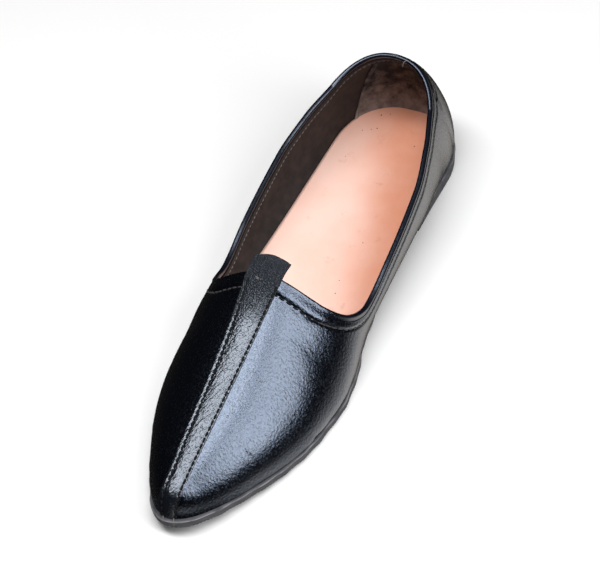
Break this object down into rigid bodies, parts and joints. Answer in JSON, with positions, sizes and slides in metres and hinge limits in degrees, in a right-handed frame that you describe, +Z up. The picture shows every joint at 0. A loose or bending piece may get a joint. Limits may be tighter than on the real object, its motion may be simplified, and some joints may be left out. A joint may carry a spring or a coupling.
{
  "type": "jutti shoe",
  "caption": "Flat slip-on jutti in black leather with a pointed round toe, stitched centre strip and tab, open throat, rolled collar, tan insole and low heel.",
  "frame": {"origin": "middle of the shoe's footprint, on the floor", "axes": "+X towards the toe, +Y to the wearer's left, +Z up"},
  "size_m": [0.2804, 0.0902, 0.0623],
  "materials": {
    "charcoal_sole": "dyed edge, satin",
    "heel_charcoal": "dyed edge, satin",
    "natural_leather": "natural tan, matt",
    "black_leather": "black, fine grain, semi-gloss",
    "strip_leather": "black, wrinkled grain, semi-gloss",
    "edge_leather": "black, smooth, glossy"
  },
  "bodies": {
    "root": {"outsole": "charcoal_sole", "heel": "heel_charcoal", "insole": "natural_leather", "upper": "black_leather", "centre_strip": "strip_leather", "collar_binding": "edge_leather"}
  },
  "joints": []
}
